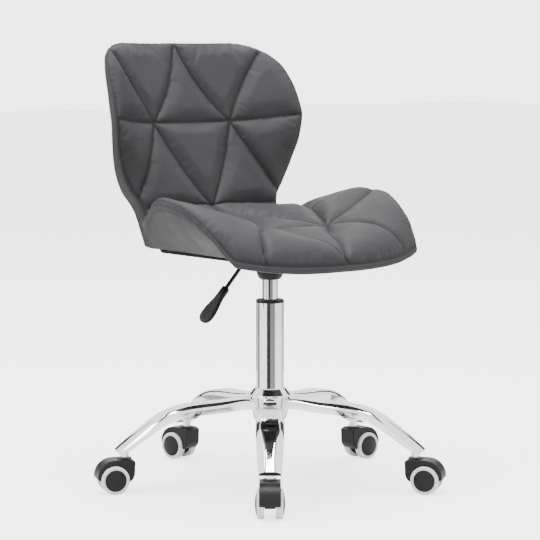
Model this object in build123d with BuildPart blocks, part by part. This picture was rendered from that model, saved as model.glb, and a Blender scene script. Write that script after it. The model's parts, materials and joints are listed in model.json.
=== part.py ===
"""Swivel chair: winged seat and back on a gas lift, with a five-star base on twin-wheel casters.

Millimetres. +Z is up, the origin is on the floor under the swivel axis, and the seat faces -Y.
The rest pose is the lift at its lowest setting.
"""

import os
from math import cos, radians, sin

from build123d import *

os.makedirs("parts", exist_ok=True)

# ---------------------------------------------------------------- driving dimensions

# base and casters
LEG_COUNT = 5
FIRST_LEG_ANGLE = -129.0  # about +Z from +X, in degrees
LEG_PITCH = 360.0 / LEG_COUNT
CASTER_PITCH_R = 267.6  # swivel axis of the casters
CASTER_TURNS = (0.0, 0.0, -13.0, 13.0, 0.0)  # how far each caster is turned from straight out
SHEET = 2.2  # pressed steel of the legs
HUB_TOP_Z = 161.0
HUB_BOTTOM_Z = 115.0
HUB_COLLAR_Z = HUB_TOP_Z + 11.0
HUB_TOP_R = 38.0
HUB_BOTTOM_R = 29.0

WHEEL_R = 25.0
CORE_R = 19.0
WELL_R = 26.6
WHEEL_INNER_Y = 9.6
AXLE_HALF = 20.5
HOOD_NOSE_X = -16.0
HOOD_TAIL_X = 51.0
HOOD_LIP_Z = 21.0
TRAIL = 20.5  # axle behind the swivel axis
HOOD_HALF_WIDTH = 18.0
WEB_HALF_WIDTH = 9.0
TYRE_OUTER_Y = 22.0
CAP_OUTER_Y = 25.2
CAP_EDGE_Y = 22.8
CAP_R = 18.5
AXLE_R = 3.0
STEM_R = 5.5
STEM_BOTTOM_Z = 43.0
HOOD_TOP_Z = 62.0
SOCKET_BOTTOM_Z = 64.5
SOCKET_TOP_Z = 77.5
SOCKET_OUTER_R = 7.75
GRIP_Z = 69.0
RUN = 0.05  # radial running clearance

# gas lift
TUBE_R = 25.0
TUBE_WALL = 1.8
TUBE_BOTTOM_Z = 112.0
TUBE_TOP_Z = 325.0
TUBE_FLOOR_Z = 116.0
BUSH_BOTTOM_Z = 232.0
COLLAR_TOP_Z = 330.0
CYLINDER_R = 14.0
CYLINDER_BOTTOM_Z = 150.0
CYLINDER_TOP_Z = 398.0
CYLINDER_BORE_R = 12.0
ROD_R = 5.0
ROD_TOP_Z = 358.0
PISTON_Z = 345.0
CLIP_Z = 109.6
CONE_Z = 370.0  # the cylinder narrows from here to its top
CONE_TOP_R = 13.2
CHAMBER_TOP_Z = 386.0
PIN_R = 4.0
PIN_TOP_Z = 402.2

# seat mechanism
PLATE_BOTTOM_Z = 413.0
PLATE_THICK = 3.0
PLATE_HALF = 76.0
SCREW_PITCH_HALF = 60.0
SCREW_R = 3.0
SOCKET_R = 18.0
SOCKET_Z = 384.0
CUP_BOTTOM_Z = 366.0
CUP_TOP_Z = 391.0
PIVOT_X = -26.0
PIVOT_Z = 405.8
PIVOT_R = 2.5
EAR_INNER = 8.5
EAR_OUTER = 11.5
EAR_BOTTOM_Z = 399.5
LEVER_R = 3.5
LEVER_TAIL_X = 0.5
LEVER_BEND_X = -52.5
LEVER_ANGLE = 43.2  # from straight down
LEVER_LENGTH = 143.8  # from the bend to the end of the grip
GRIP_LENGTH = 78.0
GRIP_HALF_WIDTH = 13.0
GRIP_TWIST = 28.0  # the paddle is turned about the lever, in degrees
GRIP_HALF_THICK = 4.0

# seat and back
BOARD_BOTTOM_Z = 419.5
BOARD_THICK = 10.0
SEAT_HALF_WIDTH = 239.0
BACK_LEAN = 22.0
CREASE = (165.0, 485.0)  # y, z of the line where seat and back meet
BACK_HEIGHT = 318.0  # along the back, above the crease
BACK_BELOW = 58.0  # along the back, below the crease
BACK_BOARD = 6.0
BOARD_TOP_Z = BOARD_BOTTOM_Z + BOARD_THICK
BOARD_HALF = 156.0
BOARD_FRONT_Y = -140.0
BOARD_REAR_Y = 138.0
DUST_THICK = 2.5
DUST_GAP = 0.2
PAD_GAP = 0.6  # between the pads and what they meet
BOARD_GAP = 3.0  # between the back pad and its board
STRAP_THICK = 4.0
STRAP_WIDTH = 32.0
STRAP_X = 80.0
STRAP_FRONT_Y = 78.0
STRAP_TOP = 30.0  # along the back
STRAP_DEPTH = 24.0  # the strap's front face, behind the back's front face
STRAP_SCREW_R = 2.5
STRAP_SHANK = 9.5
STRAP_HEAD_R = 4.5
STRAP_HEAD = 2.8
STRAP_SCREW_Y = {"front": 90.0, "rear": 112.0}
STRAP_SCREW_ALONG = {"low": -2.0, "high": 18.0}

lean = radians(BACK_LEAN)


def save(part, name):
    """Label a finished piece and write its STEP file."""
    part.label = name
    export_step(part, f"parts/{name}.step")


def cylinder_cone_r(z):
    """Radius of the gas cylinder, straight up to the cone and narrowing above."""
    return CYLINDER_R - (CYLINDER_R - CONE_TOP_R) * max(0.0, z - CONE_Z) / (CYLINDER_TOP_Z - CONE_Z)


def half_section(*points):
    """Closed outline on the XZ plane, revolved about Z."""
    with BuildSketch(Plane.XZ) as section:
        with BuildLine():
            Polyline(*points, close=True)
        make_face()
    revolve(section.sketch, axis=Axis.Z)


def ring(inner, outer, bottom, top, mode=Mode.ADD):
    """Plain ring or disc about Z."""
    with BuildSketch(Plane.XY.offset(bottom)) as section:
        Circle(outer)
        if inner:
            Circle(inner, mode=Mode.SUBTRACT)
    extrude(section.sketch, amount=top - bottom, mode=mode)


# ---------------------------------------------------------------- base

TAPER = 0.0193  # the tube narrows in the hub, millimetres for each millimetre of depth


def tube_outer_r(z):
    """Outer radius of the lift's outer tube, straight above the hub and tapered in it."""
    return TUBE_R - TAPER * max(0.0, HUB_COLLAR_Z - z)


with BuildPart() as base_hub:
    half_section(
        (tube_outer_r(HUB_BOTTOM_Z), HUB_BOTTOM_Z),
        (HUB_BOTTOM_R - 2, HUB_BOTTOM_Z),
        (HUB_BOTTOM_R, HUB_BOTTOM_Z + 2),
        (HUB_TOP_R, HUB_TOP_Z - 3),
        (HUB_TOP_R, HUB_TOP_Z),
        (TUBE_R + 4, HUB_COLLAR_Z),
        (TUBE_R, HUB_COLLAR_Z),
    )
    fillet(base_hub.edges().filter_by(GeomType.CIRCLE).sort_by(Axis.Z)[-4:-2], radius=1.0)
save(base_hub.part, "base_hub")

# Stations along a leg: radius, height of the top, slope in degrees, half width, depth, facet half width
LEG_STATIONS = (
    (31.0, 151.5, 0.0, 14.0, 17.5, 10.0),
    (90.0, 152.5, 0.0, 20.0, 18.5, 13.0),
    (145.0, 150.0, 9.0, 24.0, 18.5, 15.5),
    (190.0, 140.5, 24.0, 24.3, 18.0, 13.5),
    (226.0, 121.5, 34.0, 23.0, 17.5, 8.5),
    (262.0, 95.0, 38.0, 21.0, 16.0, 3.5),
    (284.0, 77.5, 40.0, 18.5, 11.0, 1.0),
)


def leg_section(station, inset):
    """Cross-section of a pressed leg along +X; with an inset it is the hollow, open below."""
    radius, height, slope, half, depth, facet = station
    tilt = radians(slope)
    floor = -depth - (2.0 if inset else 0.0)
    half -= inset
    facet = max(facet - inset / 2, 0.5)
    shoulder = -0.5 * depth - inset / 2
    bulge_x = (half + facet) / 2 + 1.3
    bulge_y = (shoulder - inset) / 2 + 1.1
    across = Plane(origin=(radius, 0, height), x_dir=(0, 1, 0), z_dir=(cos(tilt), 0, -sin(tilt)))
    with BuildSketch(across) as section:
        with BuildLine():
            Line((-half, floor), (-half, shoulder))
            ThreePointArc((-half, shoulder), (-bulge_x, bulge_y), (-facet, -inset))
            Line((-facet, -inset), (facet, -inset))
            ThreePointArc((facet, -inset), (bulge_x, bulge_y), (half, shoulder))
            Line((half, shoulder), (half, floor))
            Line((half, floor), (-half, floor))
        make_face()
    return section.sketch


END_WALL = 3.0  # the hollow stops this far short of the leg's tip

with BuildPart() as base_leg:
    loft([leg_section(station, 0.0) for station in LEG_STATIONS])
    tip_r, tip_z, *tip_rest = LEG_STATIONS[-1]
    hollow_stations = LEG_STATIONS[:-1] + ((tip_r - END_WALL, tip_z + 0.83 * END_WALL, *tip_rest),)
    loft([leg_section(station, SHEET) for station in hollow_stations], mode=Mode.SUBTRACT)
    # the root is cut to the cone of the hub
    with BuildSketch(Plane.XY.offset(HUB_BOTTOM_Z + 2)) as cone_bottom:
        Circle(HUB_BOTTOM_R)
    with BuildSketch(Plane.XY.offset(HUB_TOP_Z - 3)) as cone_top:
        Circle(HUB_TOP_R)
    loft([cone_bottom.sketch, cone_top.sketch], mode=Mode.SUBTRACT)
    # notch for the caster socket
    with BuildSketch(Plane.XY.offset(SOCKET_BOTTOM_Z - 1)) as notch:
        with Locations((CASTER_PITCH_R, 0)):
            Circle(SOCKET_OUTER_R + 0.05)
    extrude(notch.sketch, amount=SOCKET_TOP_Z - SOCKET_BOTTOM_Z + 1.5, mode=Mode.SUBTRACT)

with BuildPart() as socket:
    ring(STEM_R + 0.1, SOCKET_OUTER_R, SOCKET_BOTTOM_Z, SOCKET_TOP_Z)
    with BuildSketch(Plane.XY.offset(SOCKET_TOP_Z - 3)):
        Rectangle(9, 30)
        Circle(SOCKET_OUTER_R - 1, mode=Mode.SUBTRACT)
    extrude(amount=3)

with BuildPart() as stem:
    ring(0, STEM_R, STEM_BOTTOM_Z, SOCKET_TOP_Z - 1)
    ring(0, 7.0, HOOD_TOP_Z + 0.4, SOCKET_BOTTOM_Z - 0.1)
    ring(STEM_R - 0.9, STEM_R + 1, GRIP_Z, GRIP_Z + 4, mode=Mode.SUBTRACT)

with BuildPart() as grip_ring:
    ring(STEM_R - 0.88, STEM_R + 0.08, GRIP_Z + 0.05, GRIP_Z + 3.95)
    with BuildSketch(Plane.XY.offset(GRIP_Z)):
        with Locations((STEM_R, 0)):
            Rectangle(4, 1.6)
    extrude(amount=4, mode=Mode.SUBTRACT)

for number in range(LEG_COUNT):
    leg_spin = Location((0, 0, 0), (0, 0, FIRST_LEG_ANGLE + LEG_PITCH * number))
    save(base_leg.part.moved(leg_spin), f"base_leg_{number + 1}")

for label, piece in (("caster_sockets", socket), ("caster_stems", stem), ("stem_grip_rings", grip_ring)):
    with BuildPart() as group:
        with PolarLocations(CASTER_PITCH_R, LEG_COUNT, start_angle=FIRST_LEG_ANGLE):
            add(piece.part)
    save(group.part, label)

with BuildPart() as lift_outer_tube:
    half_section(
        (ROD_R + RUN, TUBE_BOTTOM_Z),
        (tube_outer_r(TUBE_BOTTOM_Z), TUBE_BOTTOM_Z),
        (TUBE_R, HUB_COLLAR_Z),
        (TUBE_R, TUBE_TOP_Z),
        (TUBE_R - TUBE_WALL, TUBE_TOP_Z),
        (TUBE_R - TUBE_WALL, HUB_COLLAR_Z + 6),
        (TUBE_R - TUBE_WALL - 1.4, HUB_COLLAR_Z + 2),
        (TUBE_R - TUBE_WALL - 1.4, TUBE_FLOOR_Z),
        (ROD_R + RUN, TUBE_FLOOR_Z),
    )
save(lift_outer_tube.part, "lift_outer_tube")

with BuildPart() as guide_bush:
    half_section(
        (CYLINDER_R + RUN, BUSH_BOTTOM_Z),
        (TUBE_R - TUBE_WALL - 0.05, BUSH_BOTTOM_Z),
        (TUBE_R - TUBE_WALL - 0.05, TUBE_TOP_Z),
        (TUBE_R, TUBE_TOP_Z),
        (TUBE_R, COLLAR_TOP_Z - 1),
        (TUBE_R - 1, COLLAR_TOP_Z),
        (TUBE_R - 3, COLLAR_TOP_Z),
        (TUBE_R - 4, COLLAR_TOP_Z - 1.5),
        (CYLINDER_R + RUN, COLLAR_TOP_Z - 1.5),
    )
save(guide_bush.part, "guide_bush")

with BuildPart() as thrust_bearing:
    ring(ROD_R + RUN, 12.0, TUBE_FLOOR_Z, TUBE_FLOOR_Z + 4)
save(thrust_bearing.part, "thrust_bearing")

# ---------------------------------------------------------------- gas lift

with BuildPart() as piston_rod:
    ring(0, ROD_R, TUBE_BOTTOM_Z - 4, PISTON_Z)
    ring(0, 3.0, PISTON_Z, ROD_TOP_Z)
    ring(0, 9.0, TUBE_FLOOR_Z + 4.05, TUBE_FLOOR_Z + 8)
    ring(4.0, ROD_R + 1, CLIP_Z, CLIP_Z + 1.6, mode=Mode.SUBTRACT)
save(piston_rod.part, "piston_rod")

with BuildPart() as rod_clip:
    ring(4.02, 7.5, CLIP_Z + 0.05, CLIP_Z + 1.5)
    with BuildSketch(Plane.XY.offset(CLIP_Z)):
        with Locations((6, 0)):
            Rectangle(6, 5)
    extrude(amount=2, mode=Mode.SUBTRACT)
save(rod_clip.part, "rod_clip")

with BuildPart() as piston:
    ring(3.02, CYLINDER_BORE_R - RUN, PISTON_Z + 0.02, ROD_TOP_Z - 1)
save(piston.part, "piston")

with BuildPart() as gas_cylinder:
    half_section(
        (CYLINDER_BORE_R, CYLINDER_BOTTOM_Z),
        (CYLINDER_R - 0.6, CYLINDER_BOTTOM_Z),
        (CYLINDER_R, CYLINDER_BOTTOM_Z + 1),
        (CYLINDER_R, CONE_Z),
        (CONE_TOP_R, CYLINDER_TOP_Z),
        (PIN_R + RUN, CYLINDER_TOP_Z),
        (PIN_R + RUN, CHAMBER_TOP_Z),
        (CYLINDER_BORE_R, CHAMBER_TOP_Z),
    )
save(gas_cylinder.part, "gas_cylinder")

with BuildPart() as cylinder_end_plug:
    ring(ROD_R + RUN, CYLINDER_BORE_R - 0.02, CYLINDER_BOTTOM_Z + 1, CYLINDER_BOTTOM_Z + 16)
save(cylinder_end_plug.part, "cylinder_end_plug")

with BuildPart() as release_pin:
    ring(0, PIN_R, CHAMBER_TOP_Z - 3, PIN_TOP_Z)
    ring(0, PIN_R + 1.6, CHAMBER_TOP_Z - 3, CHAMBER_TOP_Z - 0.1)
    fillet(release_pin.edges().sort_by(Axis.Z)[-1], radius=1.0)
save(release_pin.part, "release_pin")

# ---------------------------------------------------------------- seat mechanism

screw_corners = GridLocations(2 * SCREW_PITCH_HALF, 2 * SCREW_PITCH_HALF, 2, 2)

with BuildPart() as seat_plate:
    with BuildSketch(Plane.XY.offset(PLATE_BOTTOM_Z)):
        RectangleRounded(2 * PLATE_HALF, 2 * PLATE_HALF, 12)
        with screw_corners:
            Circle(SCREW_R + 0.3, mode=Mode.SUBTRACT)
    extrude(amount=PLATE_THICK)
    with BuildSketch(Plane.XY.offset(SOCKET_Z)):
        Circle(SOCKET_R)
    extrude(amount=PLATE_BOTTOM_Z - SOCKET_Z)
    # four ribs brace the socket against the flange
    with BuildSketch(Plane.YZ.offset(-1.5)):
        for side in (-1, 1):
            with BuildLine():
                Polyline(
                    (side * (SOCKET_R - 1), PLATE_BOTTOM_Z),
                    (side * (PLATE_HALF - 22), PLATE_BOTTOM_Z),
                    (side * (SOCKET_R - 1), CUP_TOP_Z + 1),
                    close=True,
                )
            make_face()
    extrude(amount=3)
    # ears that carry the lever's pivot
    with BuildSketch(Plane.XZ.offset(-EAR_OUTER)):
        with Locations((PIVOT_X, (EAR_BOTTOM_Z + PLATE_BOTTOM_Z) / 2)):
            Rectangle(14, PLATE_BOTTOM_Z - EAR_BOTTOM_Z)
    extrude(amount=2 * EAR_OUTER)
    with BuildSketch(Plane.XZ.offset(-EAR_INNER)):
        with Locations((PIVOT_X - 2, (EAR_BOTTOM_Z + PLATE_BOTTOM_Z) / 2)):
            Rectangle(36, PLATE_BOTTOM_Z - EAR_BOTTOM_Z)
    extrude(amount=2 * EAR_INNER, mode=Mode.SUBTRACT)
    with BuildSketch(Plane.XZ.offset(-EAR_OUTER)):
        with Locations((PIVOT_X, PIVOT_Z)):
            Circle(PIVOT_R + RUN)
    extrude(amount=2 * EAR_OUTER, mode=Mode.SUBTRACT)
    # bore for the cylinder's cone, straight above it
    with BuildSketch(Plane.XY.offset(SOCKET_Z)) as bore_bottom:
        Circle(cylinder_cone_r(SOCKET_Z) + 0.02)
    with BuildSketch(Plane.XY.offset(CYLINDER_TOP_Z)) as bore_top:
        Circle(CONE_TOP_R + 0.02)
    loft([bore_bottom.sketch, bore_top.sketch], mode=Mode.SUBTRACT)
    ring(0, CONE_TOP_R + 0.02, CYLINDER_TOP_Z, PLATE_BOTTOM_Z, mode=Mode.SUBTRACT)
save(seat_plate.part, "seat_plate")

with BuildPart() as plate_cup:
    half_section(
        (CYLINDER_R + 0.3, CUP_BOTTOM_Z),
        (17.0, CUP_BOTTOM_Z),
        (19.6, CUP_BOTTOM_Z + 1.6),
        (21.6, CUP_BOTTOM_Z + 5),
        (23.2, CUP_BOTTOM_Z + 10),
        (24.0, CUP_BOTTOM_Z + 16),
        (24.0, CUP_TOP_Z),
        (SOCKET_R + 0.05, CUP_TOP_Z),
        (SOCKET_R + 0.05, CUP_TOP_Z - 4),
        (21.8, CUP_TOP_Z - 4),
        (21.8, CUP_BOTTOM_Z + 14),
        (19.4, CUP_BOTTOM_Z + 5),
        (17.0, CUP_BOTTOM_Z + 2.6),
        (CYLINDER_R + 0.3, CUP_BOTTOM_Z + 2.6),
    )
save(plate_cup.part, "plate_cup")

lever_out = Vector(-sin(radians(LEVER_ANGLE)), 0, -cos(radians(LEVER_ANGLE)))
bend = Vector(LEVER_BEND_X, 0, PIVOT_Z)

with BuildPart() as lever_rod:
    with BuildLine(Plane.XZ):
        FilletPolyline(
            (LEVER_TAIL_X, PIVOT_Z),
            (bend.X, bend.Z),
            ((bend + lever_out * (LEVER_LENGTH - 25)).X, (bend + lever_out * (LEVER_LENGTH - 25)).Z),
            radius=12,
        )
    with BuildSketch(Plane(origin=(LEVER_TAIL_X, 0, PIVOT_Z), x_dir=(0, 1, 0), z_dir=(-1, 0, 0))):
        Circle(LEVER_R)
    sweep()
    with BuildSketch(Plane.XZ.offset(-(EAR_OUTER + 1))):
        with Locations((PIVOT_X, PIVOT_Z)):
            Circle(PIVOT_R)
    extrude(amount=2 * (EAR_OUTER + 1))
save(lever_rod.part, "lever_rod")

# Grip: its own plane has x across the paddle and y along the lever
grip_start = bend + lever_out * (LEVER_LENGTH - GRIP_LENGTH)
grip_across = Vector(0, -1, 0).rotate(Axis((0, 0, 0), lever_out), GRIP_TWIST)
grip_end = Plane(origin=grip_start, x_dir=grip_across, z_dir=lever_out)
grip_face = Plane(origin=grip_start, x_dir=grip_across, z_dir=grip_across.cross(lever_out))

with BuildPart() as lever_grip:
    with BuildSketch(grip_face):
        with BuildLine():
            Spline(
                (6.5, 0),
                (7.2, 0.28 * GRIP_LENGTH),
                (12.0, 0.58 * GRIP_LENGTH),
                (GRIP_HALF_WIDTH, 0.78 * GRIP_LENGTH),
                (9.6, 0.94 * GRIP_LENGTH),
                (0, GRIP_LENGTH),
                (-9.6, 0.94 * GRIP_LENGTH),
                (-GRIP_HALF_WIDTH, 0.78 * GRIP_LENGTH),
                (-12.0, 0.58 * GRIP_LENGTH),
                (-7.2, 0.28 * GRIP_LENGTH),
                (-6.5, 0),
            )
            Line((-6.5, 0), (6.5, 0))
        make_face()
    extrude(amount=GRIP_HALF_THICK, both=True)
    fillet(lever_grip.edges().filter_by(GeomType.BSPLINE), radius=0.7 * GRIP_HALF_THICK)
    with BuildSketch(grip_end):
        RectangleRounded(15, 12, 3)
    extrude(amount=20)
    with BuildSketch(grip_end):
        Circle(LEVER_R + 0.01)
    extrude(amount=GRIP_LENGTH - 24.9, mode=Mode.SUBTRACT)
save(lever_grip.part, "lever_grip")

# ---------------------------------------------------------------- seat and back

# Stations from front to back: y, half width, edge z, centre z, half width below, z below, height of the edge
SEAT_STATIONS = (
    (-208.0, 52.0, 404.0, 409.0, 50.0, 396.0, 4.0),
    (-190.0, 148.0, 407.0, 431.0, 140.0, 396.0, 5.0),
    (-160.0, 204.0, 428.0, 447.0, 184.0, 399.0, 8.0),
    (-110.0, 228.0, 471.0, 458.0, 172.0, 419.0, 13.0),
    (-35.0, SEAT_HALF_WIDTH, 516.0, 464.0, 166.0, 426.0, 16.0),
    (35.0, 227.0, 514.0, 469.0, 162.0, 426.0, 16.0),
    (100.0, 195.0, 490.0, 475.0, 157.0, 426.0, 16.0),
    (185.0, 156.0, 474.0, 487.0, 148.0, 426.0, 16.0),
)

# Stations up the back: distance from the crease, half width, how far the edges come forward, thickness
BACK_STATIONS = (
    (-BACK_BELOW, 148.0, 0.0, 36.0),
    (3.0, 153.0, 0.0, 36.0),
    (60.0, 185.0, 13.0, 34.0),
    (121.0, 207.0, 50.0, 28.0),
    (180.0, 208.0, 67.0, 25.0),
    (245.0, 197.0, 62.0, 21.0),
    (290.0, 172.0, 46.0, 18.0),
    (BACK_HEIGHT, 120.0, 16.0, 15.0),
)


def back_point(along, forward):
    """Point of the chair's middle plane, from its place along the back and in front of it."""
    y = CREASE[0] + along * sin(lean) - forward * cos(lean)
    z = CREASE[1] + along * cos(lean) + forward * sin(lean)
    return (y, z)


def seat_section(station):
    """Cross-section of the seat: dished top, upright edge bands, sides that slope in below."""
    y, half, edge_z, middle_z, low_half, low_z, band = station
    quarter_z = middle_z + 0.12 * (edge_z - middle_z)
    with BuildSketch(Plane.XZ.offset(-y)) as section:
        with BuildLine():
            Spline(
                (-half, edge_z),
                (-0.55 * half, quarter_z),
                (0, middle_z),
                (0.55 * half, quarter_z),
                (half, edge_z),
            )
            Polyline((half, edge_z), (half - 1, edge_z - band), (low_half, low_z))
            Line((low_half, low_z), (-low_half, low_z))
            Polyline((-low_half, low_z), (1 - half, edge_z - band), (-half, edge_z))
        make_face()
    return section.sketch


def back_section(station, front, rear, inset=0.0):
    """Cross-section of a layer of the back between two depths behind its front face."""
    along, half, forward, thick = station
    y, z = back_point(along, 0)
    half -= inset
    bow = (0.0, 0.03 * forward, forward * (half / (half + inset)) ** 3.2)
    across = Plane(origin=(0, y, z), x_dir=(1, 0, 0), z_dir=(0, sin(lean), cos(lean)))
    with BuildSketch(across) as section:
        with BuildLine():
            for depth in (front(thick), rear(thick)):
                Spline(
                    (-half, depth - bow[2]),
                    (-0.45 * half, depth - bow[1]),
                    (0, depth),
                    (0.45 * half, depth - bow[1]),
                    (half, depth - bow[2]),
                )
            for side in (-1, 1):
                Line((side * half, front(thick) - bow[2]), (side * half, rear(thick) - bow[2]))
        make_face()
    return section.sketch


def pad_front(thick):
    """Depth of the back pad's front face."""
    return 0.0


def pad_rear(thick):
    """Depth of the back pad's rear face."""
    return thick - BACK_BOARD - BOARD_GAP


def board_front(thick):
    """Depth of the back board's front face."""
    return thick - BACK_BOARD


def board_rear(thick):
    """Depth of the back board's rear face."""
    return thick


BOARD_STATIONS = BACK_STATIONS[:-1] + ((BACK_HEIGHT - 7, 122.0, 18.0, 15.3),)


def back_at_height(z, depth):
    """Point of the middle plane at a height and at a depth behind the back's front face."""
    along = (z - CREASE[1] + depth * sin(lean)) / cos(lean)
    return back_point(along, -depth)


def strap_outline(x, grow=0.0):
    """Side view of a strap: flat on the seat board, then up the front of the back board."""
    under = BOARD_TOP_Z - 2 * grow
    over = BOARD_TOP_Z + STRAP_THICK + grow
    rear = STRAP_DEPTH + STRAP_THICK + 2 * grow
    front = STRAP_DEPTH - grow
    with BuildSketch(Plane.YZ.offset(x)) as outline:
        with BuildLine():
            Polyline(
                (STRAP_FRONT_Y - grow, under),
                back_at_height(under, rear),
                back_point(STRAP_TOP + grow, -rear),
                back_point(STRAP_TOP + grow, -front),
                back_at_height(over, front),
                (STRAP_FRONT_Y - grow, over),
                close=True,
            )
        make_face()
    return outline.sketch


def screw_plane(name, x):
    """Plane on the head's seat of a strap screw, with z pointing away from the board."""
    if name in STRAP_SCREW_Y:
        return Plane(origin=(x, STRAP_SCREW_Y[name], BOARD_TOP_Z + STRAP_THICK), z_dir=(0, 0, 1))
    y, z = back_point(STRAP_SCREW_ALONG[name], -STRAP_DEPTH)
    return Plane(origin=(x, y, z), x_dir=(1, 0, 0), z_dir=(0, -cos(lean), sin(lean)))


def strap_screw_sites():
    """Seats of all strap screws."""
    names = [*STRAP_SCREW_Y, *STRAP_SCREW_ALONG]
    return [screw_plane(name, side * STRAP_X) for side in (-1, 1) for name in names]


def strap_cuts(grow):
    """Cut room for the straps and their screw heads out of the pad being built."""
    for side in (-1, 1):
        outline = strap_outline(side * STRAP_X, grow)
        extrude(outline, amount=STRAP_WIDTH / 2 + grow, both=True, mode=Mode.SUBTRACT)
    for site in strap_screw_sites():
        with BuildSketch(site) as head_room:
            Circle(STRAP_HEAD_R + 1)
        extrude(head_room.sketch, amount=STRAP_HEAD + 1, mode=Mode.SUBTRACT)


with BuildPart() as seat_board:
    with BuildSketch(Plane.XY.offset(BOARD_BOTTOM_Z)) as board_outline:
        with BuildLine():
            Polyline(
                (-BOARD_HALF, BOARD_REAR_Y),
                (-BOARD_HALF - 3, -60),
                (-BOARD_HALF + 12, BOARD_FRONT_Y),
                (BOARD_HALF - 12, BOARD_FRONT_Y),
                (BOARD_HALF + 3, -60),
                (BOARD_HALF, BOARD_REAR_Y),
                close=True,
            )
        make_face()
        fillet(board_outline.vertices(), radius=22)
        with screw_corners:
            Circle(SCREW_R + 0.02, mode=Mode.SUBTRACT)
    extrude(amount=BOARD_THICK)
    for site in strap_screw_sites():
        with BuildSketch(site):
            Circle(STRAP_SCREW_R + 0.02)
        extrude(amount=-STRAP_SHANK, mode=Mode.SUBTRACT)
save(seat_board.part, "seat_board")

with BuildPart() as seat_dust_cover:
    with BuildSketch(Plane.XY.offset(BOARD_BOTTOM_Z - DUST_GAP - DUST_THICK)) as dust_outline:
        add(board_outline.sketch.faces()[0].without_holes())
        offset(amount=-4)
        with screw_corners:
            Circle(SCREW_R + 0.3, mode=Mode.SUBTRACT)
    extrude(amount=DUST_THICK)
save(seat_dust_cover.part, "seat_dust_cover")

with BuildPart() as seat_bolts:
    with BuildSketch(Plane.XY.offset(PLATE_BOTTOM_Z)):
        with screw_corners:
            Circle(SCREW_R)
    extrude(amount=14)
    with BuildSketch(Plane.XY.offset(PLATE_BOTTOM_Z - 3.5)):
        with screw_corners:
            Circle(5.5)
    extrude(amount=3.5)
    fillet(seat_bolts.edges().group_by(Axis.Z)[0], radius=1.6)
    with BuildSketch(Plane.XY.offset(PLATE_BOTTOM_Z - 3.5)):
        with screw_corners:
            RegularPolygon(2.4, 6)
    extrude(amount=2, mode=Mode.SUBTRACT)
save(seat_bolts.part, "seat_bolts")

# room for the boards, cut out of the seat pad
with BuildPart() as board_room:
    with BuildSketch(Plane.XY.offset(BOARD_BOTTOM_Z - 30)):
        add(board_outline.sketch.faces()[0].without_holes())
        offset(amount=PAD_GAP)
    extrude(amount=30 + BOARD_THICK + PAD_GAP)

with BuildPart() as seat_cushion:
    loft([seat_section(station) for station in SEAT_STATIONS], ruled=True)
    rear_y, rear_z = back_point(0, PAD_GAP)
    split(bisect_by=Plane(origin=(0, rear_y, rear_z), z_dir=(0, cos(lean), -sin(lean))), keep=Keep.BOTTOM)
    add(board_room.part, mode=Mode.SUBTRACT)
    strap_cuts(PAD_GAP)
save(seat_cushion.part, "seat_cushion")

with BuildPart() as back_board:
    loft([back_section(station, board_front, board_rear, inset=7) for station in BOARD_STATIONS], ruled=True)
    for site in strap_screw_sites():
        with BuildSketch(site):
            Circle(STRAP_SCREW_R + 0.02)
        extrude(amount=-STRAP_SHANK, mode=Mode.SUBTRACT)
save(back_board.part, "back_board")

with BuildPart() as back_cushion:
    loft([back_section(station, pad_front, pad_rear) for station in BACK_STATIONS], ruled=True)
    strap_cuts(PAD_GAP)
save(back_cushion.part, "back_cushion")

with BuildPart() as joining_straps:
    for side in (-1, 1):
        extrude(strap_outline(side * STRAP_X), amount=STRAP_WIDTH / 2, both=True)
    for site in strap_screw_sites():
        with BuildSketch(site):
            Circle(STRAP_SCREW_R + 0.2)
        extrude(amount=-STRAP_THICK - 1, mode=Mode.SUBTRACT)
save(joining_straps.part, "joining_straps")

with BuildPart() as strap_screws:
    for site in strap_screw_sites():
        with BuildSketch(site):
            Circle(STRAP_SCREW_R)
        extrude(amount=-STRAP_SHANK)
        with BuildSketch(site):
            Circle(STRAP_HEAD_R)
        extrude(amount=STRAP_HEAD)
save(strap_screws.part, "strap_screws")

# ---------------------------------------------------------------- casters
# Each piece is drawn once, with the swivel axis on Z and the wheels trailing along +X.

axle_axis = Axis((TRAIL, 0, WHEEL_R), (0, 1, 0))
wheel_plane = Plane(origin=(TRAIL, 0, WHEEL_R), x_dir=(0, 1, 0), z_dir=(1, 0, 0))

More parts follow.
